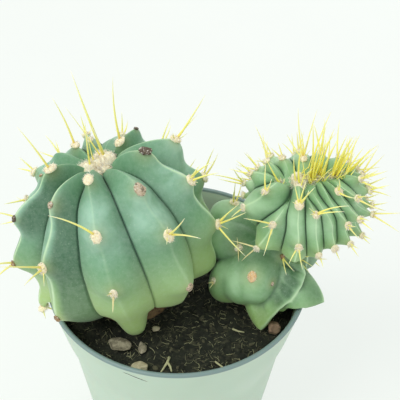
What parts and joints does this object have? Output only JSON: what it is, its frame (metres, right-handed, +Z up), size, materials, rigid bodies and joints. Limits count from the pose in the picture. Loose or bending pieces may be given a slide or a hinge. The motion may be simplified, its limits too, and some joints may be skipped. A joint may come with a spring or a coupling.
{
  "type": "potted crested blue barrel cactus",
  "caption": "Young blue barrel cactus in a plastic nursery pot, with a ribbed globe beside a swollen base that carries a crested, many-ribbed cap.",
  "frame": {"origin": "centre of the pot's underside, on the surface it stands on", "axes": "+Z up, +X to the right of the front view with the crested head, -Y towards the front"},
  "size_m": [0.1531, 0.105, 0.1857],
  "materials": {
    "pot_plastic": "pale sage polypropylene, soft satin",
    "potting_soil": "dark moist peat with pale fibres",
    "cactus_skin": "blue-green waxy skin with a pale bloom",
    "spines": "smooth yellow spines with brown feet",
    "wool": "cream felt on the pads and the crown",
    "bark": "dry weathered bark",
    "pebble": "matt buff stone",
    "clay_pebble": "matt fired clay"
  },
  "bodies": {
    "root": {"pot": "pot_plastic", "soil": "potting_soil", "barrel_head": "cactus_skin", "crested_head": "cactus_skin", "bark_chip_1": "bark", "bark_chip_2": "bark", "pebble_1": "pebble", "pebble_2": "pebble", "pebble_3": "clay_pebble"}
  },
  "joints": []
}
